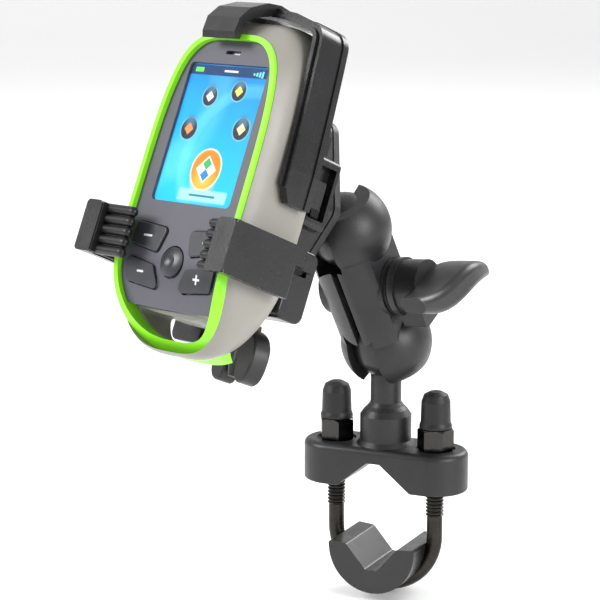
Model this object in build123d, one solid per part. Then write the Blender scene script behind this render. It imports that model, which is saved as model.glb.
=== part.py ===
"""Handlebar ball mount with a spring-finger cradle and a handheld receiver in it.

Millimetres, +Z up. The origin is the axis of the round bar the U-bolt is drawn round;
+X runs from one U-bolt leg to the other and +Y along the bar.
"""
import os
from math import cos, pi, sin, sqrt

from build123d import *

# ---------------------------------------------------------------- driving dimensions
LEG_PITCH = 37.5
THREAD_D = 6.35
THREAD_PITCH = 1.27
THREAD_DEPTH = 0.45
SHANK_D = 5.5
LEG_TOP_Z = 41.6
THREAD_LOW_Z = -2.0
BEND_Z = -9.0
NUT_AF = 11.1
NUT_H = 7.9
RUN_FIT = 0.06

PLATE_Z0 = 8.3
PLATE_Z1 = 22.8
PLATE_R = 11.4
NOTCH_HALF = 14.0
NOTCH_APEX_Z = 17.7
BOSS_R = 9.0
BOSS_Z = 36.4
NECK_R = 5.4
BALL_Z = 59.3

BALL_R = 12.7
CORE_R = 10.15
JACKET_FIT = 0.05
SOCKET_FIT = 0.05

ARM_SPAN = 47.0
ARM_CAP_R = 15.9
ARM_WAIST_R = 14.4
ARM_GAP = 1.3
ARM_HUB_X = 13.2
ARM_BOLT_D = 6.35
ARM_TRAVEL = 1.9
ARM_YAW = -8.02
ARM_PITCH = -5.64
ARM_ROLL = 26.14

HEAD_YAW = -20.83
HEAD_PITCH = -1.99
HEAD_ROLL = -24.6
PLATE_BACK = -20.3
PLATE_FRONT = -23.6
DIAMOND_LONG = 61.9
DIAMOND_WIDE = 33.3
HOLE_PITCH = 48.6

FINGER_TRAVEL = 8.0
HOOK_WALL = 3.2
HOOK_CORNER = 3.4
TAB_X = -2.6
TAB_HALF = 7.6

RACK_PITCH_R = 3.2
RACK_TEETH = 8
RACK_MID_Z = -26.75
JAW_TOP = -18.2
JAW_BOTTOM = -35.4
JAW_TRAVEL = 12.0
LIP_X = 26.4

DEVICE_HALF = 28.2
DEVICE_MID_Z = -20.0
FACE_Y = -70.6
RIM_Y = -72.4
CHIN_R = 34.0
CHIN_Z = -30.0
UPPER_POWER = 4.2
LOWER_POWER = 3.2
SCREEN_W = 36.0
SCREEN_H = 46.0
SCREEN_Z = 10.0
KEY_GAP = 0.3


# ---------------------------------------------------------------- placing helpers
def block(x0, x1, y0, y1, z0, z1):
    """Box between two corners."""
    size = Box(x1 - x0, y1 - y0, z1 - z0)
    return Pos((x0 + x1) / 2, (y0 + y1) / 2, (z0 + z1) / 2) * size


def rod_x(r, x0, x1, y=0, z=0):
    return Pos((x0 + x1) / 2, y, z) * Rot(0, 90, 0) * Cylinder(r, x1 - x0)


def rod_y(r, y0, y1, x=0, z=0):
    return Pos(x, (y0 + y1) / 2, z) * Rot(90, 0, 0) * Cylinder(r, y1 - y0)


def rod_z(r, z0, z1, x=0, y=0):
    return Pos(x, y, (z0 + z1) / 2) * Cylinder(r, z1 - z0)


def ball(r, x=0, y=0, z=0):
    return Pos(x, y, z) * Sphere(r)


def turned(points):
    """Solid of revolution about Z from radius, height pairs."""
    flat = make_face(Polyline(*[(r, 0, z) for r, z in points], close=True))
    return revolve(flat, Axis.Z, 360)


def soft_fillet(part, edges, radius):
    """Round the edges, stepping the radius down where the kernel refuses."""
    for factor in (1.0, 0.7, 0.4):
        try:
            done = fillet(edges, radius * factor)
            if done.is_valid and abs(done.volume) > 0:
                return done
        except Exception:
            continue
    return part


def prism_y(face_xz, y0, y1):
    """Push an XZ face from y0 to y1."""
    moved = Pos(0, y1, 0) * face_xz
    return extrude(moved, amount=y1 - y0, dir=(0, -1, 0))


def prism_x(face_yz, half):
    """Push a YZ face to both sides."""
    moved = Pos(-half, 0, 0) * face_yz
    return extrude(moved, amount=2 * half, dir=(1, 0, 0))


def threaded_rod(radius, pitch, depth, z0, z1):
    """Rod with thread rings, turned in one profile."""
    turns = int((z1 - z0) / pitch - 0.05)
    start = z1 - turns * pitch
    points = [(0, z0), (radius - depth, z0), (radius - depth, start)]
    for k in range(turns):
        low = start + k * pitch
        points.append((radius - depth, low + 0.12 * pitch))
        points.append((radius, low + 0.44 * pitch))
        points.append((radius, low + 0.56 * pitch))
        points.append((radius - depth, low + 0.88 * pitch))
    points.append((radius - depth, z1))
    points.append((0, z1))
    return turned(points)


def hexagon(af, z0, z1):
    body = extrude(RegularPolygon(af / sqrt(3), 6), amount=z1 - z0)
    body = Pos(0, 0, z0) * body
    crown = af / 2 * 1.03
    tip = af / sqrt(3) + 0.2
    cone = turned([(0, z0), (crown, z0), (tip, z0 + 0.9), (tip, z1 - 1.0), (crown, z1), (0, z1)])
    return body & cone


BASE_BALL = (0, 0, BALL_Z)
ARM_TURN = Rot(0, 0, ARM_YAW) * Rot(0, ARM_PITCH, 0) * Rot(ARM_ROLL, 0, 0)
ARM_AT = Pos(*BASE_BALL) * ARM_TURN * Pos(0, 0, ARM_SPAN / 2)
HEAD_BALL = (Pos(*BASE_BALL) * ARM_TURN * Pos(0, 0, ARM_SPAN)).position
HEAD_TURN = Rot(0, 0, HEAD_YAW) * Rot(0, HEAD_PITCH, 0) * Rot(HEAD_ROLL, 0, 0)
HEAD_AT = Pos(HEAD_BALL) * HEAD_TURN


def save(name, part, place=None):
    """Write one node, placed in the shared frame."""
    pieces = list(part) if isinstance(part, (list, tuple)) else [part]
    solids = []
    for piece in pieces:
        solids.extend(piece.solids())
    solids = [s for s in solids if s.volume > 0.05]
    if place is not None:
        solids = [place * s for s in solids]
    out = solids[0] if len(solids) == 1 else Compound(children=solids)
    out.label = name
    export_step(out, os.path.join("parts", name + ".step"))
    print(name, len(solids), round(sum(s.volume for s in solids), 1))


# ---------------------------------------------------------------- bar clamp
def make_base():
    """Clamp casting: bar plate with V notch, boss, neck and ball core."""
    plate = Pos(0, 0, PLATE_Z0) * extrude(
        SlotCenterToCenter(LEG_PITCH, 2 * PLATE_R), amount=PLATE_Z1 - PLATE_Z0
    )
    rims = plate.edges().filter_by_position(Axis.Z, PLATE_Z1 - 0.01, PLATE_Z1 + 0.01)
    plate = soft_fillet(plate, rims, 2.2)
    low = plate.edges().filter_by_position(Axis.Z, PLATE_Z0 - 0.01, PLATE_Z0 + 0.01)
    plate = soft_fillet(plate, low, 0.8)
    notch = Polyline(
        (-NOTCH_HALF, 0, PLATE_Z0 - 1),
        (-NOTCH_HALF, 0, PLATE_Z0),
        (-2.4, 0, NOTCH_APEX_Z),
        (2.4, 0, NOTCH_APEX_Z),
        (NOTCH_HALF, 0, PLATE_Z0),
        (NOTCH_HALF, 0, PLATE_Z0 - 1),
        close=True,
    )
    plate -= prism_y(make_face(notch), -20, 20)
    boss = turned(
        [
            (0, PLATE_Z1 - 2),
            (BOSS_R + 1.2, PLATE_Z1 - 2),
            (BOSS_R + 1.2, PLATE_Z1),
            (BOSS_R, PLATE_Z1 + 1.6),
            (BOSS_R, BOSS_Z - 3.2),
            (BOSS_R - 1.4, BOSS_Z - 1.2),
            (NECK_R + 1.0, BOSS_Z),
            (NECK_R, BOSS_Z + 1.4),
            (NECK_R, BALL_Z - 8),
            (0, BALL_Z - 8),
        ]
    )
    part = plate + boss + ball(CORE_R, 0, 0, BALL_Z)
    for side in (-1, 1):
        part -= rod_z(THREAD_D / 2 + 0.3, 0, 40, side * LEG_PITCH / 2)
        part -= rod_z(NUT_AF / sqrt(3) + 0.5, PLATE_Z1 - 0.6, 40, side * LEG_PITCH / 2)
    return part


def make_u_bolt():
    """U-bolt: two threaded legs, plain shanks and the bend."""
    legs = []
    for side in (-1, 1):
        screw = threaded_rod(THREAD_D / 2, THREAD_PITCH, THREAD_DEPTH, THREAD_LOW_Z, LEG_TOP_Z)
        shank = rod_z(SHANK_D / 2, BEND_Z, THREAD_LOW_Z)
        legs.append(Pos(side * LEG_PITCH / 2, 0, 0) * (screw + shank))
    ring = Pos(0, 0, BEND_Z) * Rot(90, 0, 0) * Torus(LEG_PITCH / 2, SHANK_D / 2)
    bend = ring & block(-40, 40, -10, 10, BEND_Z - 40, BEND_Z)
    return legs[0] + bend + legs[1]


def make_saddle():
    """V saddle riding in the bend, grooved for the wire."""
    depth = 12.5
    top = Polyline(
        (-16.0, 0, -14.4),
        (-16.3, 0, -11.2),
        (-9.6, 0, -11.8),
        (-2.2, 0, -20.4),
        (2.2, 0, -20.4),
        (9.6, 0, -11.8),
        (16.3, 0, -11.2),
        (16.0, 0, -14.4),
    )
    bottom = ThreePointArc((16.0, 0, -14.4), (0, 0, -28.8), (-16.0, 0, -14.4))
    part = prism_y(make_face(Wire(top.edges() + bottom.edges())), -depth, depth)
    part = soft_fillet(part, part.edges().filter_by(Axis.Y), 1.1)
    groove = Pos(0, 0, BEND_Z) * Rot(90, 0, 0) * Torus(LEG_PITCH / 2, SHANK_D / 2 + RUN_FIT)
    part -= groove
    low = Pos(0, 0, BEND_Z) * (rod_y(60, -SHANK_D / 2, SHANK_D / 2) - rod_y(LEG_PITCH / 2, -9, 9))
    part -= low
    for side in (-1, 1):
        part -= rod_z(SHANK_D / 2 + RUN_FIT, BEND_Z, 0, side * LEG_PITCH / 2)
    return part


def make_nut():
    """Lock nut body with a crown pocket for the nylon ring."""
    part = hexagon(NUT_AF, PLATE_Z1 - 0.6, PLATE_Z1 - 0.6 + NUT_H)
    part -= rod_z(THREAD_D / 2 + RUN_FIT, 0, 60)
    part -= rod_z(4.3, PLATE_Z1 - 0.6 + NUT_H - 2.6, PLATE_Z1 + NUT_H - 1.0)
    return part


def make_nut_ring():
    top = PLATE_Z1 + NUT_H - 1.0
    ring = rod_z(4.3, top - 2.2, top)
    return ring - rod_z(THREAD_D / 2 + RUN_FIT, 0, 60)


def make_cap():
    """Rubber thread cap, slightly flared at the mouth."""
    foot = PLATE_Z1 - 0.6 + NUT_H + 0.35
    part = turned(
        [
            (THREAD_D / 2, foot),
            (5.7, foot),
            (5.7, foot + 0.8),
            (5.25, foot + 2.0),
            (5.05, foot + 9.2),
            (4.2, foot + 11.6),
            (2.2, foot + 12.7),
            (0, foot + 12.9),
            (0, LEG_TOP_Z),
            (THREAD_D / 2, LEG_TOP_Z),
        ]
    )
    return part


def make_jacket():
    """Rubber jacket round a ball core, open where the neck leaves it (along -Z)."""
    part = Sphere(BALL_R) - Sphere(CORE_R + JACKET_FIT)
    part -= rod_z(NECK_R + JACKET_FIT + 0.25, -20, 0)
    return part


# ---------------------------------------------------------------- double socket arm
def neck_slot(at_z, lean):
    """Room a ball neck sweeps when it swings between the two halves."""
    reach = 16.6
    half = NECK_R + 0.6
    flat = Polyline(
        (-half, 0, 0),
        (half, 0, 0),
        (half - lean * reach, 0, reach),
        (-half - lean * reach, 0, reach),
        close=True,
    )
    sweep = revolve(make_face(flat), Axis.X, 360)
    return Pos(0, 0, at_z) * sweep


def make_arm_half(side):
    """One half of the arm; side +1 carries the knob."""
    end = ARM_SPAN / 2
    body = None
    for z in (-end, end):
        shell = ball(ARM_CAP_R, 0, 0, z)
        shell &= block(-40, 40, -40, 40, z - 12, z + 12)
        body = shell if body is None else body + shell
    trunk = rod_z(ARM_WAIST_R, -end, end)
    trunk &= block(-11.6, 11.6, -40, 40, -60, 60)
    body += trunk
    body &= block(-40, 40, -40, 40, -end - 9.6, end + 10.4)
    body += rod_x(10.3, 0, side * ARM_HUB_X) if side > 0 else rod_x(9.6, -ARM_HUB_X, 0)
    keep = block(ARM_GAP, 40, -40, 40, -60, 60)
    if side < 0:
        keep = block(-40, -ARM_GAP, -40, 40, -60, 60)
    body &= keep
    for z, lean in ((-end, 0.098), (end, 0.176)):
        body -= ball(BALL_R + SOCKET_FIT, 0, 0, z)
        body -= neck_slot(z, lean)
    body -= rod_x(ARM_BOLT_D / 2 + RUN_FIT, -40, 40)
    body -= rod_x(5.9, -6.2, 6.2)
    if side > 0:
        ring = rod_x(10.4, ARM_HUB_X - 0.8, ARM_HUB_X + 1)
        body -= ring - rod_x(9.4, ARM_HUB_X - 2, ARM_HUB_X + 2)
    else:
        body -= rod_x(7.4, -ARM_HUB_X - 1, -ARM_HUB_X + 2.2)
    solids = sorted(body.solids(), key=lambda s: -s.volume)
    return solids[0]


def make_arm_bolt():
    """Carriage bolt through both halves, thread ending inside the knob."""
    head = rod_x(7.2, -ARM_HUB_X + 0.2, -ARM_HUB_X + 2.15)
    dome = ball(12.4, -ARM_HUB_X + 9.6, 0, 0)
    dome &= rod_x(7.2, -ARM_HUB_X - 4, -ARM_HUB_X + 0.3)
    shank = rod_x(ARM_BOLT_D / 2, -ARM_HUB_X + 2, 12)
    thread = Rot(0, 90, 0) * threaded_rod(ARM_BOLT_D / 2, THREAD_PITCH, 0.4, 12, 27.5)
    return head + dome + shank + thread


def make_spring(radius, wire, x0, x1, turns):
    """Coil spring about X with closed rings at both ends."""
    pitch = (x1 - x0 - wire) / turns
    path = Helix(pitch, pitch * turns, radius)
    profile = Plane(origin=path @ 0, z_dir=path % 0) * Circle(wire / 2)
    coil = sweep(profile, path=path)
    coil = Pos(x0 + wire / 2, 0, 0) * Rot(0, 90, 0) * coil
    return coil


def make_arm_knob():
    """Wing knob: round collar, stepped block and a twisted two-lobed wing."""
    x0 = ARM_HUB_X + 1.0
    collar = rod_x(9.3, x0, x0 + 10.6)
    collar += rod_x(10.0, x0, x0 + 2.2)
    step = block(x0 + 0.4, x0 + 9.0, -6.5, 7.5, -13.0, -4.0)
    step = soft_fillet(step, step.edges().filter_by(Axis.X), 1.6)
    sections = []
    stations = 9
    for k in range(stations):
        t = 2 * k / (stations - 1) - 1
        wave = sin(pi * t)
        thick = 9.4 - 3.0 * t * t
        low = x0 + 8.4 + 4.6 * t * t
        high = x0 + 24.4 - 2.6 * t * t + 0.8 * wave
        spot = Plane(
            origin=((low + high) / 2, 20.8 * t, -7.4 * t + 2.0 * wave),
            x_dir=(0, 0, 1),
            z_dir=(0, 1, 0),
        )
        sections.append(spot * RectangleRounded(thick, high - low, 2.6))
    wing = loft(sections)
    part = collar + step + wing
    part -= rod_x(4.6, x0 - 1, x0 + 15.0)
    return part


def make_knob_insert():
    x0 = ARM_HUB_X + 1.0
    part = Rot(0, 90, 0) * Pos(0, 0, x0 + 0.6) * Cylinder(4.6, 14.2, align=(Align.CENTER, Align.CENTER, Align.MIN))
    part -= rod_x(ARM_BOLT_D / 2 + RUN_FIT, 0, 60)
    return part


def make_knob_washer():
    x0 = ARM_HUB_X + 0.05
    return rod_x(8.4, x0, x0 + 0.9) - rod_x(ARM_BOLT_D / 2 + 0.2, 0, 60)


# ---------------------------------------------------------------- ball plate and cradle
def diamond(long_way, wide, corner):
    """Rounded diamond outline in the XZ plane."""
    reach = long_way / 2 - corner
    spread = wide / 2 - corner
    line = Polyline((0, 0, reach), (spread, 0, 0), (0, 0, -reach), (-spread, 0, 0), close=True)
    return offset(make_face(line), corner)


def make_ball_plate():
    """Diamond plate with neck and ball core."""
    flat = prism_y(diamond(DIAMOND_LONG, DIAMOND_WIDE, 6.4), PLATE_FRONT, PLATE_BACK)
    flat = soft_fillet(flat, flat.edges().filter_by_position(Axis.Y, PLATE_BACK - 0.01, PLATE_BACK + 0.01), 0.9)
    post = Rot(90, 0, 0) * turned(
        [
            (0, -1),
            (0, 21.4),
            (10.4, 21.4),
            (10.2, 20.2),
            (7.0, 18.4),
            (NECK_R, 16.4),
            (NECK_R, 8),
            (0, 8),
        ]
    )
    part = flat + post + Sphere(CORE_R)
    for z in (-HOLE_PITCH / 2, HOLE_PITCH / 2):
        part -= rod_y(2.5, -40, 0, 0, z)
        part -= rod_y(4.6, PLATE_BACK - 1.2, 0, 0, z)
    return part


def make_plate_screws():
    """Pan-head screws through the plate."""
    out = []
    for z in (-HOLE_PITCH / 2, HOLE_PITCH / 2):
        shaft = rod_y(1.95, PLATE_FRONT - 2.9, PLATE_BACK - 1.0, 0, z)
        head = rod_y(3.9, PLATE_BACK - 1.15, PLATE_BACK + 1.3, 0, z)
        head = soft_fillet(head, head.edges().filter_by_position(Axis.Y, PLATE_BACK + 1.2, PLATE_BACK + 1.4), 0.9)
        slot = block(-0.5, 0.5, PLATE_BACK + 0.2, PLATE_BACK + 2, z - 2.4, z + 2.4)
        cross = block(-2.4, 2.4, PLATE_BACK + 0.2, PLATE_BACK + 2, z - 0.5, z + 0.5)
        out.append(shaft + head - slot - cross)
    return out


def make_plate_nuts():
    out = []
    for z in (-HOLE_PITCH / 2, HOLE_PITCH / 2):
        nut = Rot(90, 0, 0) * hexagon(7.0, 24.0, 26.4)
        nut = Pos(0, 0, z) * nut
        out.append(nut - rod_y(1.95, -40, 0, 0, z))
    return out


def make_cradle_base():
    """Cradle back: diamond block above, rack housing below, foot leg at one side."""
    back = prism_y(diamond(DIAMOND_LONG - 0.8, DIAMOND_WIDE - 0.8, 6.2), -34.6, PLATE_FRONT)
    house = block(-18.2, 18.2, -37.4, -25.2, -39.4, -15.4)
    house = soft_fillet(house, house.edges().filter_by(Axis.X), 3.2)
    house = soft_fillet(house, house.edges().filter_by(Axis.Y), 1.2)
    mast = block(-9.5, 9.5, -34.6, -27.0, -16, 24)
    part = back + house + mast
    side = block(8.0, 18.6, -37.4, -28.0, -8.5, 7.3 + FINGER_TRAVEL)
    side = soft_fillet(side, side.edges().filter_by(Axis.Y), 2.0)
    part += side
    leg = block(-27.5, -14.0, -37.4, -34.2, -52.5, -36.3)
    leg = soft_fillet(leg, leg.edges().filter_by(Axis.Y), 3.0)
    part += leg
    part -= block(-15.6, 15.6, -38, -28.2, -37.85, -17.6)
    part -= block(-15.6, 30, -36.4, -29.4, RACK_MID_Z + 2.55, RACK_MID_Z + 8.35)
    part -= block(-30, 15.6, -36.4, -29.4, RACK_MID_Z - 8.35, RACK_MID_Z - 2.55)
    part -= rod_y(1.55, -28.5, -27.4, 0, RACK_MID_Z)
    part -= rod_z(2.1, -45, -37, 2.5, -32.2)
    part -= block(15.6, 30, -36.6, -29.4, -5.3, 4.3 + FINGER_TRAVEL)
    part -= block(-6.5, 6.5, -40, -29.6, 2, 13.4)
    for z in (-HOLE_PITCH / 2, HOLE_PITCH / 2):
        pocket = Rot(90, 0, 0) * Pos(0, 0, 22.0) * extrude(RegularPolygon(7.1 / sqrt(3), 6), amount=4.6)
        part -= Pos(0, 0, z) * pocket
    for x in (-12.6, 12.6):
        part -= rod_y(0.95, -40, -30.5, x, -16.5 + 0.0)
    solids = sorted(part.solids(), key=lambda s: -s.volume)
    return solids[0]


def make_cradle_cover():
    """Front cover that closes the rack housing, with a rubber-grip field."""
    plate = block(-15.4, 15.4, -38.6, -37.45, -39.0, 26.0)
    plate = soft_fillet(plate, plate.edges().filter_by(Axis.Y), 4.0)
    plate += block(-13.2, 13.2, -37.5, -36.5, -36.9, -17.9)
    plate -= rod_y(1.55, -37.9, -36, 0, RACK_MID_Z)
    for x in (-12.6, 12.6):
        plate -= rod_y(1.0, -40, -36, x, -16.5)
    return plate


def make_cover_screws():
    out = []
    for x in (-12.6, 12.6):
        head = rod_y(1.7, -39.0, -38.65, x, -16.5)
        shaft = rod_y(0.95, -38.7, -31.0, x, -16.5)
        out.append(head + shaft)
    return out


def make_pinion():
    """Lantern-toothed pinion that ties the two racks."""
    part = rod_y(2.82, -36.0, -29.8, 0, RACK_MID_Z)
    for k in range(RACK_TEETH):
        a = pi / 2 + 2 * pi * k / RACK_TEETH
        x = RACK_PITCH_R * cos(a)
        z = RACK_MID_Z + RACK_PITCH_R * sin(a)
        part += rod_y(0.5, -36.0, -29.8, x, z)
    part += rod_y(1.5, -37.6, -27.5, 0, RACK_MID_Z)
    return part


def rack(sign, reach):
    """Toothed bar of one jaw, outward along X; sign +1 runs below the pinion."""
    tip = RACK_MID_Z - sign * (RACK_PITCH_R - 0.25)
    root = RACK_MID_Z - sign * (RACK_PITCH_R + 0.75)
    far = RACK_MID_Z - sign * 8.2
    low, high = min(root, far), max(root, far)
    bar = block(-13.6, reach, -36.2, -29.6, low, high)
    pitch = 2 * pi * RACK_PITCH_R / RACK_TEETH
    for k in range(-5, 5):
        x = (k + 0.5) * pitch
        tooth = Polyline(
            (x - 0.5, 0, root + sign * 0.1),
            (x - 0.3, 0, tip),
            (x + 0.3, 0, tip),
            (x + 0.5, 0, root - sign * 0.1 + sign * 0.2),
            (x + 0.5, 0, root - sign * 0.3),
            (x - 0.5, 0, root - sign * 0.3),
            close=True,
        )
        bar += prism_y(make_face(tooth), -36.2, -29.6)
    return bar


def make_jaw(side):
    """Side jaw: rack, arm round the back corner, cheek and front lip; side +1 is right."""
    mid = (JAW_TOP + JAW_BOTTOM) / 2
    bar = rack(-side, 22.0)
    split = RACK_MID_Z + 2.4 * side
    foot = split if side > 0 else JAW_BOTTOM
    crown = JAW_TOP if side > 0 else split
    bend = Polyline(
        (28.9, -52.0, foot),
        (34.6, -52.0, foot),
        (34.6, -47.8, foot),
        (22.0, -35.2, foot),
        (18.7, -35.2, foot),
        (18.7, -36.2, foot),
        (19.3, -36.2, foot),
        (28.9, -45.8, foot),
        close=True,
    )
    knee = extrude(make_face(bend), amount=crown - foot, dir=(0, 0, 1))
    cheek = block(31.0, 34.6, -80.6, -50.5, JAW_BOTTOM, JAW_TOP)
    cheek = soft_fillet(cheek, cheek.edges().filter_by(Axis.Z), 1.0)
    outer = 34.6 if side > 0 else 36.4
    inset = LIP_X if side > 0 else 29.0
    lip = block(inset, outer, -80.8, -77.4, JAW_BOTTOM, JAW_TOP)
    lip = soft_fillet(lip, lip.edges().filter_by(Axis.Y), 1.5)
    part = bar + knee + cheek + lip
    if side < 0:
        part += block(34.0, 36.6, -79.0, -60.0, mid - 6.0, mid + 6.0)
    if side < 0:
        part = mirror(part, Plane.YZ)
    return part


def make_jaw_pad(side):
    """Rubber pad with five rounded ribs round the front corner of the device."""
    height = JAW_TOP - JAW_BOTTOM
    rib = height / 5
    tip = 21.4 if side > 0 else 17.2
    inset = LIP_X if side > 0 else 29.0
    part = block(28.55, 30.95, -76.9, -52.3, JAW_BOTTOM + 0.4, JAW_TOP - 0.4)
    part += block(28.55, 30.95, -80.4, -76.8, JAW_BOTTOM + 0.4, JAW_TOP - 0.4)
    for k in range(5):
        z = JAW_BOTTOM + (k + 0.5) * rib
        bead = rod_x(rib * 0.48, tip, 30.9, -77.2, z)
        bead += ball(rib * 0.48, tip, -77.2, z)
        bead -= block(0, 40, -90, -81.0, z - 9, z + 9)
        bead -= block(0, 40, -72.8, -60, z - 9, z + 9)
        part += bead
    part -= block(inset - 0.05, 40, -90, -77.35, -60, 0)
    part -= block(30.98, 40, -90, -30, -60, 0)
    tongue = block(tip + 0.4, 28.8, -77.3, -75.6, JAW_BOTTOM + 0.9, JAW_TOP - 0.9)
    part += tongue
    if side < 0:
        part = mirror(part, Plane.YZ)
    return part


def make_clamp_screw():
    """Lock screw of the rack clamp, with its captive collar."""
    part = threaded_rod(1.95, 0.7, 0.25, -41.9, -35.3)
    part += rod_z(1.75, -45.5, -41.8)
    part += rod_z(3.4, -40.6, -39.7)
    return Pos(2.5, -32.2, 0) * part


def make_lock_shoe():
    """Keyed shoe the screw lifts against the lower rack."""
    part = block(-2.2, 7.2, -36.2, -29.6, -36.95, -35.05)
    return part - rod_z(1.95 + RUN_FIT, -60, 0, 2.5, -32.2)


def make_clamp_knob():
    """Two-lobed wing knob on the lock screw."""
    hub = turned([(0, -60.5), (2.6, -60.5), (3.6, -56), (4.4, -46.0), (3.9, -42.4), (0, -42.4)])
    lobes = None
    for side in (-1, 1):
        outline = Spline(
            (side * 1.2, 0, -44.3),
            (side * 7.4, 0, -44.9),
            (side * 12.8, 0, -49.2),
            (side * 13.6, 0, -55.4),
            (side * 10.8, 0, -61.4),
            (side * 6.2, 0, -62.2),
            (side * 3.2, 0, -57.0),
            (side * 1.2, 0, -50.0),
            periodic=True,
        )
        lobe = extrude(make_face(outline), amount=3.1, both=True, dir=(0, 1, 0))
        lobe = soft_fillet(lobe, lobe.edges(), 1.9)
        lobe = Rot(0, 0, 0) * lobe
        lobes = lobe if lobes is None else lobes + lobe
    part = Rot(0, 0, -16) * (hub + lobes)
    part -= rod_z(1.75, -46.0, -40)
    return Pos(2.5, -32.2, 0) * part


def super_points(half, top, bottom, mid, count=9):
    """Points round a squared-off oval in the XZ plane."""
    points = []
    for k in range(4 * count):
        a = 2 * pi * k / (4 * count)
        c, s = cos(a), sin(a)
        power = UPPER_POWER if s >= 0 else LOWER_POWER
        tall = top - mid if s >= 0 else mid - bottom
        scale = (abs(c) ** power + abs(s) ** power) ** (-1 / power)
        points.append((half * c * scale, 0, mid + tall * s * scale))
    return points


def oval(half, top, bottom, mid=DEVICE_MID_Z):
    return make_face(Spline(*super_points(half, top, bottom, mid), periodic=True))


def hook_outline(grow):
    """Squared arch the hook follows, as a face in the XZ plane."""
    line = Polyline(
        (29.2, 0, -30.0),
        (29.1, 0, 4.0),
        (27.9, 0, 24.0),
        (26.5, 0, 40.0),
        (25.7, 0, 48.0),
        (14.0, 0, 51.4),
        (0, 0, 53.3),
        (-14.0, 0, 51.4),
        (-26.5, 0, 47.0),
        (-29.0, 0, -30.0),
        close=True,
    )
    face = offset(offset(make_face(line), -HOOK_CORNER), HOOK_CORNER)
    return offset(face, grow) if grow else face


def make_finger():
    """Hook: strip up the right side, over the top and a tab over the front edge."""
    reach = block(-17.0, 60, -70, -40, -7.0, 90)
    hoop = prism_y(hook_outline(HOOK_WALL) - hook_outline(0.0), -62.4, -50.2) & reach
    lip = prism_y(hook_outline(1.5) - hook_outline(0.0), -63.4, -61.4) & reach
    bead = prism_y(hook_outline(HOOK_WALL + 0.5) - hook_outline(1.2), -52.6, -50.2) & reach
    hoop = hoop + lip + bead
    hoop -= Pos(31, -64.2, -7.2) * Rot(32, 0, 0) * Box(12, 8, 8)
    bend = Polyline(
        (28.9, -53.0, -5.0),
        (32.2, -53.0, -5.0),
        (32.2, -45.8, -5.0),
        (16.2, -29.8, -5.0),
        (15.9, -29.8, -5.0),
        (15.9, -36.3, -5.0),
        (19.3, -36.3, -5.0),
        (28.9, -45.9, -5.0),
        close=True,
    )
    root = extrude(make_face(bend), amount=9.0, dir=(0, 0, 1))
    profile = Polyline(
        (0, -56.5, 56.9),
        (0, -56.5, 53.3),
        (0, -64.0, 52.4),
        (0, -70.6, 49.4),
        (0, -73.6, 46.4),
        (0, -74.2, 44.2),
        (0, -74.2, 41.0),
        (0, -76.4, 40.2),
        (0, -77.2, 42.4),
        (0, -76.8, 47.4),
        (0, -73.4, 52.0),
        (0, -66.5, 56.0),
        (0, -61.0, 57.2),
        close=True,
    )
    tab = Pos(TAB_X, 0, 0) * prism_x(make_face(profile), TAB_HALF)
    tab = soft_fillet(tab, tab.edges().filter_by(Axis.Y), 1.2)
    part = hoop + root + tab
    solids = sorted(part.solids(), key=lambda s: -s.volume)
    return solids[0]


# ---------------------------------------------------------------- handheld receiver
def chin_region(front, deep):
    """Slab that follows the flat front and the chin that curves back below it."""
    lower = CHIN_R - (front - RIM_Y)
    inner = lower - deep
    centre_y = front + lower
    turn = 1.28
    a0 = (centre_y - lower * cos(turn), CHIN_Z - lower * sin(turn))
    a1 = (centre_y - inner * cos(turn), CHIN_Z - inner * sin(turn))
    am = (centre_y - lower * cos(turn / 2), CHIN_Z - lower * sin(turn / 2))
    bm = (centre_y - inner * cos(turn / 2), CHIN_Z - inner * sin(turn / 2))
    edges = [
        Line((0, front, 70), (0, front, CHIN_Z)),
        ThreePointArc((0, front, CHIN_Z), (0, am[0], am[1]), (0, a0[0], a0[1])),
        Line((0, a0[0], a0[1]), (0, a1[0], a1[1])),
        ThreePointArc((0, a1[0], a1[1]), (0, bm[0], bm[1]), (0, front + deep, CHIN_Z)),
        Line((0, front + deep, CHIN_Z), (0, front + deep, 70)),
        Line((0, front + deep, 70), (0, front, 70)),
    ]
    return prism_x(make_face(Wire(edges)), 45)


def section(y, half, top, bottom, shrink):
    """One closed section of the receiver body."""
    points = super_points(half - shrink, top - shrink, bottom + shrink, DEVICE_MID_Z, 7)
    return Pos(0, y, 0) * make_face(Wire(Spline(*points, periodic=True)))


def shell_body(shrink=0.0):
    """Outer body of the receiver as one loft through sections across its depth."""
    front = section(-71.2 + shrink, 26.3, 43.4, -43.5, shrink)
    brow = section(-67.5, 27.3, 47.6, -52.0, shrink)
    waist = section(-60.5, DEVICE_HALF, 50.7, -60.2, shrink)
    belly = section(-52.5, DEVICE_HALF, 51.3, -59.0, shrink)
    flank = section(-45.2, 26.0, 49.9, -43.2, shrink)
    back = section(-39.2 - shrink, 20.0, 44.5, -36.5, shrink)
    return loft([front, brow, waist, belly, flank, back])


def chin_hole():
    """Lanyard opening through the chin."""
    outline = Spline(
        (-18.0, 0, -47.4),
        (-9.0, 0, -48.3),
        (0, 0, -48.6),
        (9.0, 0, -48.3),
        (18.0, 0, -47.4),
        (15.6, 0, -52.4),
        (8.5, 0, -55.2),
        (0, 0, -56.1),
        (-8.5, 0, -55.2),
        (-15.6, 0, -52.4),
        periodic=True,
    )
    return prism_y(make_face(outline), -90, -30)


def make_rim():
    """Green rim: raised ring that runs on round the chin loop."""
    ring = prism_y(oval(26.0, 43.2, -60.0) - oval(24.3, 41.5, -56.2), -80, -40)
    return ring & chin_region(RIM_Y, 5.0)


def face_outline():
    flat = oval(24.28, 41.48, -56.2)
    chin = oval(60, 120, -47.6, 0)
    return flat & chin


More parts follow.
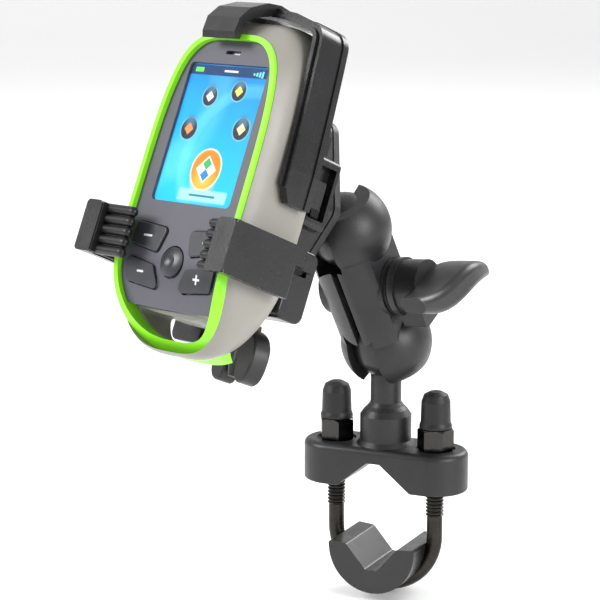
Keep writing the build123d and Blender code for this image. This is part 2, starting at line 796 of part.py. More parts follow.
def window(grow, y0, y1):
    """Rounded screen outline pushed through the face."""
    flat = Rot(90, 0, 0) * RectangleRounded(SCREEN_W + 2 * grow, SCREEN_H + 2 * grow, 1.6)
    return prism_y(Pos(0, 0, SCREEN_Z) * flat, y0, y1)


def make_face_plate():
    """Dark face with the window, key and joystick openings."""
    plate = prism_y(face_outline(), -80, -40) & chin_region(FACE_Y, 2.0)
    plate -= window(0.5, -80, -60)
    for name in KEY_NAMES:
        plate -= key_prism(name, KEY_GAP, -80, -60)
    plate -= rod_y(JOY_R + 0.45, -80, -60, 0, JOY_Z)
    plate -= prism_y(Pos(0, 0, 37.4) * slot_xz(7.0, 1.3), -80, -60)
    return plate


KEY_NAMES = ("upper_left", "upper_right", "lower_left", "lower_right")
JOY_Z = -32.9
JOY_R = 4.9


def slot_xz(long_way, tall):
    return Rot(90, 0, 0) * SlotOverall(long_way, tall)


def key_prism(name, grow, y0, y1):
    """Key outline pushed through, grown by the clearance."""
    side = -1 if name.endswith("left") else 1
    if name.startswith("upper"):
        corners = ((5.2, -22.2), (20.6, -21.0), (21.2, -28.4), (7.6, -30.8))
    else:
        corners = ((7.8, -34.8), (21.2, -32.8), (20.0, -40.8), (4.4, -42.4))
    line = Polyline(*[(side * x, 0, z) for x, z in corners], close=True)
    face = make_face(line)
    rounded = offset(offset(face, -1.6), 1.6 + grow)
    return prism_y(rounded, y0, y1)


def make_key(name):
    """Key cap with a shoulder behind the face."""
    cap = key_prism(name, 0.0, -71.5, -69.2)
    if name.startswith("lower"):
        cap &= prism_y(oval(40, 40, -60), -90, -40)
        cap &= chin_region(-71.5, 2.3)
    cap = soft_fillet(cap, cap.edges().group_by(Axis.Y)[0], 0.45)
    return cap


def make_joystick():
    """Domed joystick on a short stem."""
    dome = ball(11.0, 0, -60.9, JOY_Z) & rod_y(JOY_R, -73, -69.3, 0, JOY_Z)
    dish = ball(5.2, 0, -76.4, JOY_Z)
    return dome - dish


def make_shell():
    """Rear shell: lofted body, hollow, with the chin opening and a battery bay."""
    outer = shell_body()
    outer -= prism_y(oval(26.0, 43.2, -60.0), -90, -30) & chin_cap(RIM_Y + 5.0)
    inner = shell_body(2.2) & block(-60, 60, -90, -20, -45.2, 90)
    inner &= back_space(-69.0)
    part = outer - inner
    part -= chin_hole()
    part -= battery_hatch(0.15)
    part -= rod_x(2.3, -40, -20, -56.0, 22.0)
    for x in (-15.5, 15.5):
        for z in (30.5, -34.0):
            boss = rod_y(2.4, -65.2, -38.0, x, z) & shell_body(0.8)
            part += boss - rod_y(1.12, -66, -56, x, z)
    solids = sorted(part.solids(), key=lambda s: -s.volume)
    return solids[0]


def chin_cap(y):
    """Region ahead of the curved surface through y, as a solid block minus the rear part."""
    return block(-45, 45, -95, -20, -75, 75) - back_space(y)


def back_space(y):
    """Everything behind the flat front and curved chin surface through y."""
    radius = CHIN_R - (y - RIM_Y)
    centre_y = y + radius
    upper = block(-45, 45, y, 20, CHIN_Z, 75)
    lower = block(-45, 45, centre_y, 20, -75, CHIN_Z + 0.01)
    drum = rod_x(radius, -45, 45, centre_y, CHIN_Z)
    drum &= block(-45, 45, y - 1, centre_y + 0.01, -75, CHIN_Z + 0.01)
    return upper + lower + drum


def battery_hatch(grow):
    """Battery door blank through the back wall."""
    flat = Rot(90, 0, 0) * RectangleRounded(33.0 + 2 * grow, 60.0 + 2 * grow, 5.0)
    return prism_y(Pos(0, 0, -2.0) * flat, -43.6, -30)


def make_door():
    door = battery_hatch(0.0) & shell_body()
    door &= block(-40, 40, -41.6, -30, -60, 60)
    for k in range(4):
        z = -22.0 - 2.0 * k
        door -= rod_x(0.5, -7, 7, -39.2, z)
    return door


def make_lens():
    return window(0.4, -70.7, -69.8)


def make_display():
    """Colour panel behind the lens."""
    return block(-18.6, 18.6, -69.6, -67.2, SCREEN_Z - 23.6, SCREEN_Z + 23.6) & window(0.35, -80, -60)


def make_membrane():
    return block(-21.5, 21.5, -80, -60, -43.5, -17.0) & chin_region(-68.35, 0.7)


def make_board():
    board = block(-19.6, 19.6, -66.7, -65.3, -37.0, 35.5)
    for x in (-15.5, 15.5):
        for z in (30.5, -34.0):
            board -= rod_y(1.2, -80, -60, x, z)
    return board


def make_battery(side):
    """Round cell with a raised contact."""
    x = side * 7.7
    low = -27.5
    top = low + 49.2
    body = turned([(0, low), (6.6, low), (7.05, low + 0.6), (7.05, top - 0.8), (6.4, top), (2.6, top), (2.6, top + 1.2), (0, top + 1.2)])
    return Pos(x, -51.4, 0) * body


def make_contacts():
    """Spring strips at the two ends of the battery bay."""
    upper = block(-12.5, 12.5, -56.0, -47.0, 23.1, 23.6)
    lower = block(-12.5, 12.5, -56.0, -47.0, -28.6, -28.1)
    return [upper, lower]


def make_battery_tray():
    """Tray that carries the two cells."""
    tray = block(-16.6, 16.6, -60.6, -44.2, -30.6, 25.4)
    tray -= block(-15.2, 15.2, -59.2, -40.0, -28.7, 23.7)
    return tray


def make_antenna():
    """Square patch antenna standing on a ground block."""
    patch = block(-12.5, 12.5, -62.0, -45.0, 36.5, 40.5)
    return soft_fillet(patch, patch.edges().filter_by(Axis.Z), 1.0)


def make_speaker():
    return rod_y(3.4, -68.5, -67.0, 0, 37.9)


def make_power_key():
    """Power key, flush in the left-hand wall."""
    return rod_x(2.1, -28.15, -24.4, -56.0, 22.0)


def make_case_screws():
    out = []
    for x in (-15.5, 15.5):
        for z in (30.5, -34.0):
            shaft = rod_y(1.05, -66.8, -58.0, x, z)
            head = rod_y(1.9, -66.95, -66.75, x, z)
            out.append(shaft + head)
    return out


def main():
    os.makedirs("parts", exist_ok=True)
    half = LEG_PITCH / 2
    save("base_casting", make_base())
    save("u_bolt", make_u_bolt())
    save("saddle_block", make_saddle())
    nut = make_nut()
    ring = make_nut_ring()
    cap = make_cap()
    save("lock_nut_left", Pos(-half, 0, 0) * nut)
    save("lock_nut_right", Pos(half, 0, 0) * Rot(0, 0, 14) * nut)
    save("nut_ring_left", Pos(-half, 0, 0) * ring)
    save("nut_ring_right", Pos(half, 0, 0) * ring)
    save("thread_caps", [Pos(-half, 0, 0) * cap, Pos(half, 0, 0) * cap])

    save("lower_ball_jacket", make_jacket(), Pos(*BASE_BALL))
    save("arm_half_far", make_arm_half(-1), ARM_AT)
    save("arm_half_near", make_arm_half(1), ARM_AT)
    save("arm_bolt", make_arm_bolt(), ARM_AT)
    save("arm_spring", make_spring(4.6, 1.0, -6.0, 6.0, 5), ARM_AT)
    save("knob_washer", make_knob_washer(), ARM_AT)
    save("arm_knob", make_arm_knob(), ARM_AT)
    save("knob_insert", make_knob_insert(), ARM_AT)

    save("upper_ball_jacket", Rot(-90, 0, 0) * make_jacket(), HEAD_AT)
    save("ball_plate", make_ball_plate(), HEAD_AT)
    save("plate_screws", make_plate_screws(), HEAD_AT)
    save("plate_nuts", make_plate_nuts(), HEAD_AT)
    save("cradle_base", make_cradle_base(), HEAD_AT)
    save("cradle_cover", make_cradle_cover(), HEAD_AT)
    save("cover_screws", make_cover_screws(), HEAD_AT)
    save("pinion", make_pinion(), HEAD_AT)
    save("jaw_left", make_jaw(-1), HEAD_AT)
    save("jaw_right", make_jaw(1), HEAD_AT)
    save("jaw_pad_left", make_jaw_pad(-1), HEAD_AT)
    save("jaw_pad_right", make_jaw_pad(1), HEAD_AT)
    save("clamp_screw", make_clamp_screw(), HEAD_AT)
    save("clamp_knob", make_clamp_knob(), HEAD_AT)
    save("lock_shoe", make_lock_shoe(), HEAD_AT)
    save("finger_hook", make_finger(), HEAD_AT)

    save("device_shell", make_shell(), HEAD_AT)
    save("device_rim", make_rim(), HEAD_AT)
    save("device_face", make_face_plate(), HEAD_AT)
    save("device_lens", make_lens(), HEAD_AT)
    save("device_display", make_display(), HEAD_AT)
    save("key_membrane", make_membrane(), HEAD_AT)
    save("circuit_board", make_board(), HEAD_AT)
    save("battery_tray", make_battery_tray(), HEAD_AT)
    save("battery_cells", [make_battery(-1), make_battery(1)], HEAD_AT)
    save("battery_contacts", make_contacts(), HEAD_AT)
    save("battery_door", make_door(), HEAD_AT)
    save("patch_antenna", make_antenna(), HEAD_AT)
    save("speaker_disc", make_speaker(), HEAD_AT)
    save("case_screws", make_case_screws(), HEAD_AT)
    save("joystick", make_joystick(), HEAD_AT)
    save("power_key", make_power_key(), HEAD_AT)
    for name in KEY_NAMES:
        save("key_" + name, make_key(name), HEAD_AT)


if __name__ == "__main__":
    main()
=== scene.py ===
"""Looks of the handlebar ball mount and the receiver it holds."""
import math

import bpy
from mathutils import Matrix, Vector


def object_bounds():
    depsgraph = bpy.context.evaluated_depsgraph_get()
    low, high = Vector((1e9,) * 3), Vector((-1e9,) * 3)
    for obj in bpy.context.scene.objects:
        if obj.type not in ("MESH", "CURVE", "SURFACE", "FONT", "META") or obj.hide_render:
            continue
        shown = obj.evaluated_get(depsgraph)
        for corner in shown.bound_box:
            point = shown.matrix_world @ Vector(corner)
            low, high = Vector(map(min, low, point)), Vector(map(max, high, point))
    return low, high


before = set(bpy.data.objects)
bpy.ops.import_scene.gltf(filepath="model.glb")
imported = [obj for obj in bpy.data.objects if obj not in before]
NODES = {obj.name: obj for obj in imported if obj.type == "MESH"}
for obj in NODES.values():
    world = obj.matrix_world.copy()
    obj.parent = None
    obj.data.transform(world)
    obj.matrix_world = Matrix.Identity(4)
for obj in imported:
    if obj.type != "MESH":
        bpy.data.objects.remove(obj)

cad_low, cad_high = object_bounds()
MM = 0.001

# ------------------------------------------------------------ head of the mount
# Turns are degrees of yaw, pitch and roll. The head's origin is the upper ball,
# with X across the receiver and Z up along it.
BALL_LOW = Vector((0.0, 0.0, 59.3)) * MM
ARM_SPAN = 47.0 * MM
ARM_TURN = (-8.02, -5.64, 26.14)
HEAD_TURN = (-20.83, -1.99, -24.6)


def turn_matrix(yaw, pitch, roll):
    """Rotation by roll about X, then pitch about Y, then yaw about Z."""
    z = Matrix.Rotation(math.radians(yaw), 4, "Z")
    y = Matrix.Rotation(math.radians(pitch), 4, "Y")
    x = Matrix.Rotation(math.radians(roll), 4, "X")
    return z @ y @ x


BALL_HIGH = BALL_LOW + turn_matrix(*ARM_TURN) @ Vector((0, 0, ARM_SPAN))
HEAD_AT = Matrix.Translation(BALL_HIGH) @ turn_matrix(*HEAD_TURN)

# ------------------------------------------------------------ material helpers
MIX_FIRST = 6
MIX_SECOND = 7
MIX_RESULT = 2
EDGE_RANGE = (0.55, 0.72)
PRINT_SOFT = 0.14
LOZENGE_SOFT = 0.2


class Paint:
    """Small wrapper that builds one node material."""

    def __init__(self, name, base, rough, metal=0.0):
        self.mat = bpy.data.materials.new(name)
        self.mat.use_nodes = True
        self.nodes = self.mat.node_tree.nodes
        self.links = self.mat.node_tree.links
        self.bsdf = self.nodes["Principled BSDF"]
        self.set("Base Color", (*base, 1.0))
        self.set("Roughness", rough)
        self.set("Metallic", metal)
        self.coord = self.nodes.new("ShaderNodeTexCoord")

    def set(self, socket, value):
        """Give a socket of the surface a fixed value."""
        self.bsdf.inputs[socket].default_value = value

    def feed(self, socket, value):
        """Drive a socket of the surface from another node."""
        self.links.new(value, self.bsdf.inputs[socket])

    def fill(self, socket, value):
        """Put a number, a colour or another node's output into a socket."""
        if isinstance(value, tuple):
            socket.default_value = (*value, 1.0)
        elif isinstance(value, float):
            socket.default_value = value
        else:
            self.links.new(value, socket)

    def noise(self, scale, detail=3.0, rough=0.55):
        """Cloudy value that stays on the part."""
        node = self.nodes.new("ShaderNodeTexNoise")
        node.inputs["Scale"].default_value = scale
        node.inputs["Detail"].default_value = detail
        node.inputs["Roughness"].default_value = rough
        self.links.new(self.coord.outputs["Object"], node.inputs["Vector"])
        return node.outputs["Fac"]

    def span(self, value, low, high, out_low=0.0, out_high=1.0):
        """Map a value from one range to another."""
        node = self.nodes.new("ShaderNodeMapRange")
        node.inputs["From Min"].default_value = low
        node.inputs["From Max"].default_value = high
        node.inputs["To Min"].default_value = out_low
        node.inputs["To Max"].default_value = out_high
        self.links.new(value, node.inputs["Value"])
        return node.outputs["Result"]

    def blend(self, factor, first, second):
        """Mix two colours, each fixed or from another node."""
        node = self.nodes.new("ShaderNodeMix")
        node.data_type = "RGBA"
        self.links.new(factor, node.inputs["Factor"])
        self.fill(node.inputs[MIX_FIRST], first)
        self.fill(node.inputs[MIX_SECOND], second)
        return node.outputs[MIX_RESULT]

    def maths(self, kind, first, second):
        """Result of one sum on two values."""
        node = self.nodes.new("ShaderNodeMath")
        node.operation = kind
        self.fill(node.inputs[0], first)
        self.fill(node.inputs[1], second)
        return node.outputs["Value"]

    def along(self, origin, direction):
        """Distance in millimetres from origin along a direction."""
        away = self.nodes.new("ShaderNodeVectorMath")
        away.operation = "SUBTRACT"
        self.links.new(self.coord.outputs["Object"], away.inputs[0])
        away.inputs[1].default_value = origin
        dot = self.nodes.new("ShaderNodeVectorMath")
        dot.operation = "DOT_PRODUCT"
        self.links.new(away.outputs["Vector"], dot.inputs[0])
        dot.inputs[1].default_value = direction / MM
        return dot.outputs["Value"]

    def head_axes(self):
        """Millimetres across and up the head, from its origin."""
        turn = HEAD_AT.to_3x3()
        origin = HEAD_AT.to_translation()
        across = self.along(origin, turn @ Vector((1, 0, 0)))
        upward = self.along(origin, turn @ Vector((0, 0, 1)))
        return across, upward

    def flat_point(self, axes):
        """One point from the two head axes."""
        node = self.nodes.new("ShaderNodeCombineXYZ")
        self.links.new(axes[0], node.inputs["X"])
        self.links.new(axes[1], node.inputs["Y"])
        return node.outputs["Vector"]

    def off_centre(self, axes, x, z):
        """Distances from a centre along both head axes."""
        dx = self.maths("ABSOLUTE", self.maths("SUBTRACT", axes[0], x), 0.0)
        dz = self.maths("ABSOLUTE", self.maths("SUBTRACT", axes[1], z), 0.0)
        return dx, dz

    def disc(self, point, x, z, radius, soft=PRINT_SOFT):
        """Mask that is one inside a circle."""
        node = self.nodes.new("ShaderNodeVectorMath")
        node.operation = "DISTANCE"
        self.links.new(point, node.inputs[0])
        node.inputs[1].default_value = (x, z, 0.0)
        return self.span(node.outputs["Value"], radius - soft, radius + soft, 1.0, 0.0)

    def panel(self, axes, x, z, half_x, half_z, soft=PRINT_SOFT):
        """Mask that is one inside an upright rectangle."""
        dx, dz = self.off_centre(axes, x, z)
        in_x = self.span(dx, half_x - soft, half_x + soft, 1.0, 0.0)
        in_z = self.span(dz, half_z - soft, half_z + soft, 1.0, 0.0)
        return self.maths("MULTIPLY", in_x, in_z)

    def lozenge(self, axes, x, z, half, soft=LOZENGE_SOFT):
        """Mask that is one inside a diamond."""
        dx, dz = self.off_centre(axes, x, z)
        return self.span(self.maths("ADD", dx, dz), half - soft, half + soft, 1.0, 0.0)

    def bump(self, value, distance):
        """Relief of the surface, as deep as the distance in metres."""
        node = self.nodes.new("ShaderNodeBump")
        node.inputs["Strength"].default_value = 1.0
        node.inputs["Distance"].default_value = distance
        self.links.new(value, node.inputs["Height"])
        self.feed("Normal", node.outputs["Normal"])

    def highlight_edges(self):
        """Mask of convex edges, where a painted highlight goes."""
        geo = self.nodes.new("ShaderNodeNewGeometry")
        return self.span(geo.outputs["Pointiness"], *EDGE_RANGE)

    def lay(self, tone, axes, marks, point=None):
        """Lay each mark of a table over the tone, in order."""
        for shape, size, colour in marks:
            if shape == "disc":
                mask = self.disc(point, *size)
            elif shape == "panel":
                mask = self.panel(axes, *size)
            else:
                mask = self.lozenge(axes, *size)
            tone = self.blend(mask, tone, colour)
        return tone


def shade(base, gain):
    """Colour made lighter or darker, no lighter than white."""
    return tuple(min(1.0, c * gain) for c in base)


# ------------------------------------------------------------ surfaces
DRIFT_RANGE = (0.3, 0.7)
DRIFT_DETAIL = 4.0
COATED_TONE_SCALE = 55.0
COATED_ROUGH_SCALE = 140.0
COATED_ROUGH_DETAIL = 5.0
COATED_ROUGH_RANGE = (0.25, 0.75)
COATED_ROUGH_SWING = 0.07
GRAIN_DETAIL = 2.0
GRAIN_ROUGH = 0.5
COAT_ROUGH = 0.12
METAL_TONE_SCALE = 90.0
METAL_DARK = 0.8
METAL_LIGHT = 1.15
SCRATCH_SCALE = 900.0
SCRATCH_DETAIL = 6.0
SCRATCH_ROUGH = 0.7
SCRATCH_SMOOTHER = 0.08
SCRATCH_ROUGHER = 0.12
SCRATCH_DEPTH = 0.00002


def coated(name, base, rough, grain, grain_depth, edge_highlight=None, dust=0.25, coat=0.0, gloss=0.5,
           marks=None):
    """Moulded or coated surface: grain bump, drifting tone and roughness, painted highlight
    on convex edges.
    """
    p = Paint(name, base, rough)
    drift = p.span(p.noise(COATED_TONE_SCALE, DRIFT_DETAIL), *DRIFT_RANGE)
    tone = p.blend(drift, shade(base, 1.0 - dust), shade(base, 1.0 + dust))
    # Painted highlight: convex edges get a lighter colour.
    if edge_highlight is not None:
        tone = p.blend(p.highlight_edges(), tone, edge_highlight)
    if marks is not None:
        tone = p.lay(tone, p.head_axes(), marks)
    p.feed("Base Color", tone)
    cloud = p.noise(COATED_ROUGH_SCALE, COATED_ROUGH_DETAIL)
    low, high = rough - COATED_ROUGH_SWING, rough + COATED_ROUGH_SWING
    p.feed("Roughness", p.span(cloud, *COATED_ROUGH_RANGE, low, high))
    p.bump(p.noise(grain, GRAIN_DETAIL, GRAIN_ROUGH), grain_depth)
    p.set("Specular IOR Level", gloss)
    if coat:
        p.set("Coat Weight", coat)
        p.set("Coat Roughness", COAT_ROUGH)
    return p.mat


def metal_surface(name, base, rough):
    """Plated or machined metal with fine scratches."""
    p = Paint(name, base, rough, 1.0)
    drift = p.span(p.noise(METAL_TONE_SCALE, DRIFT_DETAIL), *DRIFT_RANGE)
    p.feed("Base Color", p.blend(drift, shade(base, METAL_DARK), shade(base, METAL_LIGHT)))
    cloud = p.noise(SCRATCH_SCALE, SCRATCH_DETAIL, SCRATCH_ROUGH)
    low, high = rough - SCRATCH_SMOOTHER, rough + SCRATCH_ROUGHER
    p.feed("Roughness", p.span(cloud, *DRIFT_RANGE, low, high))
    p.bump(p.noise(SCRATCH_SCALE), SCRATCH_DEPTH)
    return p.mat


# Printed signs of the keys: a bar and a diamond above, minus and plus below.
# Each is a shape, its centre and half sizes in millimetres, and a colour.
KEY_INK = (0.62, 0.63, 0.64)
KEY_MARKS = (
    ("panel", (-13.6, -25.6, 2.0, 0.32), KEY_INK),
    ("lozenge", (13.6, -25.6, 1.3), KEY_INK),
    ("panel", (-13.4, -37.4, 1.5, 0.32), KEY_INK),
    ("panel", (13.4, -37.4, 1.5, 0.32), KEY_INK),
    ("panel", (13.4, -37.4, 0.32, 1.5), KEY_INK),
)

# Coated surfaces: name, colour, roughness, grain scale and grain depth in metres.
# The edge colours given to some surfaces are painted highlights on their convex edges.
MATS = {
    "cast": coated("cast_black", (0.0105, 0.0105, 0.0115), 0.40, 2600.0, 0.00006,
                   edge_highlight=(0.03, 0.03, 0.031), gloss=0.42),
    "bolt": metal_surface("bolt_black", (0.040, 0.037, 0.033), 0.30),
    "saddle": coated("saddle_gloss", (0.009, 0.009, 0.010), 0.3, 700.0, 0.00001,
                     edge_highlight=(0.03, 0.03, 0.03), coat=0.12, gloss=0.35),
    "nut": metal_surface("nut_chrome", (0.050, 0.048, 0.046), 0.18),
    "nylon": coated("nylon_black", (0.012, 0.012, 0.013), 0.5, 1500.0, 0.00003, gloss=0.3),
    "cap": coated("cap_rubber", (0.0095, 0.0095, 0.010), 0.50, 1800.0, 0.00005, gloss=0.35),
    "jacket": coated("ball_rubber", (0.009, 0.0075, 0.007), 0.32, 1600.0, 0.00004, gloss=0.5),
    "steel": metal_surface("zinc_steel", (0.52, 0.52, 0.53), 0.3),
    "plastic": coated("black_plastic", (0.0065, 0.0065, 0.0075), 0.26, 1500.0, 0.00004,
                      edge_highlight=(0.02, 0.02, 0.021), gloss=0.42),
    "knob": coated("knob_plastic", (0.013, 0.0125, 0.0128), 0.36, 1900.0, 0.00006,
                   edge_highlight=(0.05, 0.049, 0.049), gloss=0.4),
    "brass": metal_surface("brass", (0.66, 0.47, 0.2), 0.28),
    "pad": coated("pad_rubber", (0.0055, 0.0055, 0.006), 0.36, 1500.0, 0.00004, gloss=0.4),
    "acetal": coated("acetal", (0.7, 0.69, 0.65), 0.45, 1200.0, 0.00003),
    "shell": coated("shell_grey", (0.245, 0.235, 0.210), 0.36, 2200.0, 0.00003,
                    dust=0.04, gloss=0.4),
    "rim": coated("rim_green", (0.235, 0.74, 0.018), 0.34, 1800.0, 0.00002,
                  dust=0.05, gloss=0.35),
    "face": coated("face_slate", (0.074, 0.072, 0.090), 0.36, 2400.0, 0.00003,
                   dust=0.06, gloss=0.35),
    "key": coated("key_dark", (0.030, 0.031, 0.037), 0.32, 2000.0, 0.00003,
                  gloss=0.4, marks=KEY_MARKS),
    "board": coated("board_green", (0.02, 0.14, 0.06), 0.35, 900.0, 0.00002),
    "cell": coated("cell_sleeve", (0.10, 0.17, 0.4), 0.3, 700.0, 0.00001),
    "tray": coated("tray_black", (0.05, 0.05, 0.055), 0.5, 1500.0, 0.00003),
    "mat": coated("key_mat", (0.28, 0.28, 0.30), 0.6, 1500.0, 0.00003),
    "ceramic": coated("ceramic", (0.74, 0.72, 0.64), 0.5, 1500.0, 0.00002),
}

NODE_PAINT = {
    "cast": ("base_casting", "arm_half_far", "arm_half_near", "ball_plate"),
    "bolt": ("u_bolt", "plate_screws", "cover_screws"),
    "saddle": ("saddle_block",),
    "nut": ("lock_nut_left", "lock_nut_right"),
    "nylon": ("nut_ring_left", "nut_ring_right"),
    "cap": ("thread_caps",),
    "jacket": ("lower_ball_jacket", "upper_ball_jacket"),
    "steel": ("arm_bolt", "arm_spring", "knob_washer", "plate_nuts", "clamp_screw",
              "battery_contacts", "speaker_disc", "case_screws"),
    "plastic": ("cradle_base", "cradle_cover", "jaw_left", "jaw_right", "finger_hook",
                "battery_door"),
    "knob": ("arm_knob", "clamp_knob"),
    "brass": ("knob_insert", "lock_shoe"),
    "pad": ("jaw_pad_left", "jaw_pad_right"),
    "acetal": ("pinion",),
    "shell": ("device_shell",),
    "rim": ("device_rim",),
    "face": ("device_face",),
    "key": ("joystick", "power_key", "key_upper_left", "key_upper_right", "key_lower_left",
            "key_lower_right"),
    "board": ("circuit_board",),
    "cell": ("battery_cells",),
    "tray": ("battery_tray",),
    "mat": ("key_membrane",),
    "ceramic": ("patch_antenna",),
}


def paint(obj, mat):
    """Give an object one material."""
    obj.data.materials.clear()
    obj.data.materials.append(mat)


for kind, names in NODE_PAINT.items():
    for name in names:
        paint(NODES[name], MATS[kind])


# ------------------------------------------------------------ screen
LENS_TINT = (0.9, 0.95, 1.0)
LENS_ROUGH = 0.06
LENS_IOR = 1.12
LENS_ALPHA = 0.12
LENS_WAVES = 260.0
LENS_DEPTH = 0.000004

SCREEN_BLUE = (0.0, 0.3, 0.8)
SCREEN_ROUGH = 0.3
SCREEN_GLOSS = 0.2
SCREEN_GLOW = 0.34
SKY_RANGE = (-12.0, 30.0)
SKY_LOW = (0.0, 0.40, 0.74)
SKY_HIGH = (0.0, 0.16, 0.46)
CLOUD_SCALE = 35.0
CLOUD_RANGE = (0.35, 0.75, 0.0, 0.5)
CLOUD_BLUE = (0.01, 0.30, 0.75)

# Pale arcs: centre, radius, width and strength.
ARCS = (
    (-34.0, 24.0, 33.0, 6.0, 0.4),
    (14.0, 2.0, 24.0, 2.4, 0.5),
    (-20.0, -22.0, 26.0, 7.0, 0.35),
)
ARC_INSET = 0.6
ARC_INNER_SOFT = 0.8
ARC_BLUE = (0.20, 0.66, 0.85)

# Round icons: centre and radius, and the colour of the diamond inside.
ICONS = (
    (-6.1, 22.6, 3.6, (0.75, 0.72, 0.5)),
    (6.6, 25.0, 3.6, (0.8, 0.62, 0.1)),
    (-11.5, 11.3, 4.0, (0.85, 0.2, 0.05)),
    (12.6, 12.7, 4.0, (0.72, 0.66, 0.3)),
)
ICON_RING = (0.16, 0.36, 0.48)
ICON_RING_WIDTH = 0.4
ICON_DARK = (0.006, 0.02, 0.035)
ICON_SHINE = (0.05, 0.12, 0.17)
ICON_SHINE_SHARE = 0.55
ICON_SHINE_SOFT = 1.0
ICON_GLYPH_SHARE = 0.5

# Large round icon, its label, and the status bar with its signs.
SCREEN_MARKS = (
    ("disc", (2.0, -1.5, 7.0), (0.75, 0.62, 0.40)),
    ("disc", (2.0, -1.5, 6.5), (0.72, 0.17, 0.008)),
    ("disc", (2.0, -5.0, 4.0, 2.5), (0.85, 0.36, 0.04)),
    ("lozenge", (2.0, -1.5, 4.6), (0.70, 0.68, 0.60)),
    ("lozenge", (2.0, 0.4, 2.1), (0.03, 0.30, 0.09)),
    ("lozenge", (2.0, -3.4, 2.1), (0.02, 0.16, 0.42)),
    ("panel", (3.6, -10.3, 11.2, 1.9, 0.4), (0.26, 0.56, 0.62)),
    ("panel", (3.6, -10.3, 6.0, 0.35), (0.03, 0.12, 0.20)),
    ("panel", (0.0, 31.4, 18.5, 1.7), (0.004, 0.03, 0.10)),
    ("panel", (-14.5, 31.4, 1.9, 0.75), (0.12, 0.65, 0.05)),
    ("panel", (0.5, 31.4, 3.2, 0.3), (0.65, 0.70, 0.75)),
)

# Four rising bars at the end of the status bar.
BAR_COUNT = 4
BAR_X = 11.4
BAR_STEP = 1.3
BAR_Z = 31.0
BAR_HALF_WIDTH = 0.36
BAR_HALF_HEIGHT = 0.35
BAR_RISE = 0.25
BAR_BLUE = (0.15, 0.65, 0.75)


def glass_paint():
    """Thin clear window."""
    p = Paint("lens_clear", LENS_TINT, LENS_ROUGH)
    p.set("Transmission Weight", 1.0)
    p.set("IOR", LENS_IOR)
    p.set("Alpha", LENS_ALPHA)
    p.bump(p.noise(LENS_WAVES, GRAIN_DETAIL), LENS_DEPTH)
    return p.mat


def icon_marks():
    """Ring, dark disc, shine and diamond of every small icon."""
    marks = []
    for x, z, radius, glyph in ICONS:
        shine = radius * ICON_SHINE_SHARE
        marks += [
            ("disc", (x, z, radius), ICON_RING),
            ("disc", (x, z, radius - ICON_RING_WIDTH), ICON_DARK),
            ("disc", (x, z + shine, shine, ICON_SHINE_SOFT), ICON_SHINE),
            ("lozenge", (x, z, radius * ICON_GLYPH_SHARE), glyph),
        ]
    return marks


def bar_marks():
    """Signal bars, each taller than the last."""
    marks = []
    for k in range(BAR_COUNT):
        size = (BAR_X + BAR_STEP * k, BAR_Z, BAR_HALF_WIDTH, BAR_HALF_HEIGHT + BAR_RISE * k)
        marks.append(("panel", size, BAR_BLUE))
    return marks


def screen_paint():
    """Blue menu picture: status bar, four round icons, a large round icon and a label."""
    p = Paint("screen_blue", SCREEN_BLUE, SCREEN_ROUGH)
    p.set("Specular IOR Level", SCREEN_GLOSS)
    axes = p.head_axes()
    point = p.flat_point(axes)
    cloud = p.noise(CLOUD_SCALE, GRAIN_DETAIL)
    tone = p.blend(p.span(axes[1], *SKY_RANGE), SKY_LOW, SKY_HIGH)
    tone = p.blend(p.span(cloud, *CLOUD_RANGE), tone, CLOUD_BLUE)
    for x, z, radius, width, strength in ARCS:
        outer = p.disc(point, x, z, radius, width)
        inner = p.disc(point, x, z, radius - width * ARC_INSET, width * ARC_INNER_SOFT)
        arc = p.maths("MULTIPLY", p.maths("SUBTRACT", outer, inner), strength)
        tone = p.blend(arc, tone, ARC_BLUE)
    tone = p.lay(tone, axes, [*icon_marks(), *SCREEN_MARKS, *bar_marks()], point)
    p.feed("Base Color", tone)
    p.feed("Emission Color", tone)
    p.set("Emission Strength", SCREEN_GLOW)
    return p.mat


paint(NODES["device_lens"], glass_paint())
paint(NODES["device_display"], screen_paint())

# ------------------------------------------------------------ stage
CAMERA_AZIMUTH = 25.0
CAMERA_ELEVATION = 12.0
CAMERA_DISTANCE = 0.9
CAMERA_AIM = (0.0, 0.0, 0.0083)
AIM_SHIFT_RIGHT = 0.02995
AIM_SHIFT_UP = -0.06393
SENSOR_WIDTH = 36.0
LENS_LENGTH = 153.9

FLOOR_GAP = 0.0015
FLOOR_FRONT = -3.0
FLOOR_BACK = 1.6
FLOOR_HALF_WIDTH = 3.5
SWEEP_RADIUS = 1.0
SWEEP_STEPS = 12
WALL_TOP = 3.5
PAPER = (0.93, 0.93, 0.93)
PAPER_DARK = (0.92, 0.92, 0.92)
PAPER_LIGHT = (0.95, 0.95, 0.95)
PAPER_ROUGH = 0.7
PAPER_SCALE = 3.0
WORLD_STRENGTH = 0.80

# Lamps: name, place, aim, size and power.
LAMPS = (
    ("key_light", (-0.85, -0.70, 0.80), (0, 0, 0.1), 0.55, 15.0),
    ("fill_light", (1.00, -0.35, 0.40), (0, 0, 0.1), 0.45, 9.0),
    ("rim_light", (0.35, 0.9, 0.7), (0, 0, 0.12), 0.6, 9.0),
)


def view_axes():
    """Level directions from the object to the camera and to the picture's right."""
    azimuth = math.radians(CAMERA_AZIMUTH)
    out = Vector((math.sin(azimuth), -math.cos(azimuth), 0.0))
    right = Vector((math.cos(azimuth), math.sin(azimuth), 0.0))
    return out, right


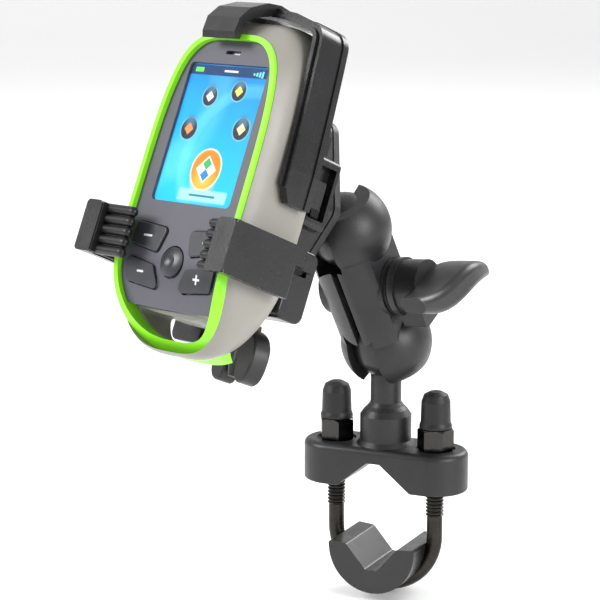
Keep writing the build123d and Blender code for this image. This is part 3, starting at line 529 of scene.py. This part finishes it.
def sweep_floor(floor_z):
    """Paper sweep: flat floor that curves up far behind the object."""
    out, side = view_axes()
    away = -out
    profile = [(FLOOR_FRONT, 0.0), (FLOOR_BACK, 0.0)]
    for k in range(1, SWEEP_STEPS + 1):
        a = math.radians(90.0 * k / SWEEP_STEPS)
        rise = SWEEP_RADIUS * (1.0 - math.cos(a))
        profile.append((FLOOR_BACK + SWEEP_RADIUS * math.sin(a), rise))
    profile.append((FLOOR_BACK + SWEEP_RADIUS, WALL_TOP))
    points = []
    for reach, height in profile:
        for edge in (-FLOOR_HALF_WIDTH, FLOOR_HALF_WIDTH):
            points.append(away * reach + side * edge + Vector((0, 0, floor_z + height)))
    faces = [(2 * k, 2 * k + 1, 2 * k + 3, 2 * k + 2) for k in range(len(profile) - 1)]
    mesh = bpy.data.meshes.new("studio_floor")
    mesh.from_pydata(points, [], faces)
    mesh.shade_smooth()
    floor = bpy.data.objects.new("studio_floor", mesh)
    bpy.context.scene.collection.objects.link(floor)
    return floor


def studio():
    """White paper, even white surroundings and three lamps."""
    floor = sweep_floor(cad_low.z - FLOOR_GAP)
    p = Paint("floor_paper", PAPER, PAPER_ROUGH)
    p.feed("Base Color", p.blend(p.noise(PAPER_SCALE), PAPER_DARK, PAPER_LIGHT))
    paint(floor, p.mat)
    world = bpy.data.worlds.new("studio_world")
    bpy.context.scene.world = world
    world.use_nodes = True
    back = world.node_tree.nodes["Background"]
    back.inputs["Color"].default_value = (1.0, 1.0, 1.0, 1.0)
    back.inputs["Strength"].default_value = WORLD_STRENGTH
    for name, spot, aim, size, power in LAMPS:
        data = bpy.data.lights.new(name, "AREA")
        data.size = size
        data.energy = power
        lamp = bpy.data.objects.new(name, data)
        bpy.context.scene.collection.objects.link(lamp)
        lamp.location = spot
        way = Vector(aim) - Vector(spot)
        lamp.rotation_euler = way.to_track_quat("-Z", "Y").to_euler()


def camera():
    """Long lens from the front right, a little above the object."""
    out, right = view_axes()
    elevation = math.radians(CAMERA_ELEVATION)
    up = Vector((0, 0, 1)) * math.cos(elevation) - out * math.sin(elevation)
    back = out * math.cos(elevation) + Vector((0, 0, 1)) * math.sin(elevation)
    data = bpy.data.cameras.new("photo_camera")
    data.sensor_width = SENSOR_WIDTH
    data.lens = LENS_LENGTH
    cam = bpy.data.objects.new("photo_camera", data)
    bpy.context.scene.collection.objects.link(cam)
    aim = Vector(CAMERA_AIM) - right * AIM_SHIFT_RIGHT - up * AIM_SHIFT_UP
    turn = Matrix((right, up, back)).transposed().to_4x4()
    cam.matrix_world = Matrix.Translation(aim + back * CAMERA_DISTANCE) @ turn
    bpy.context.scene.camera = cam


studio()
camera()

scene = bpy.context.scene
scene.render.engine = "CYCLES"
scene.view_settings.view_transform = "Standard"
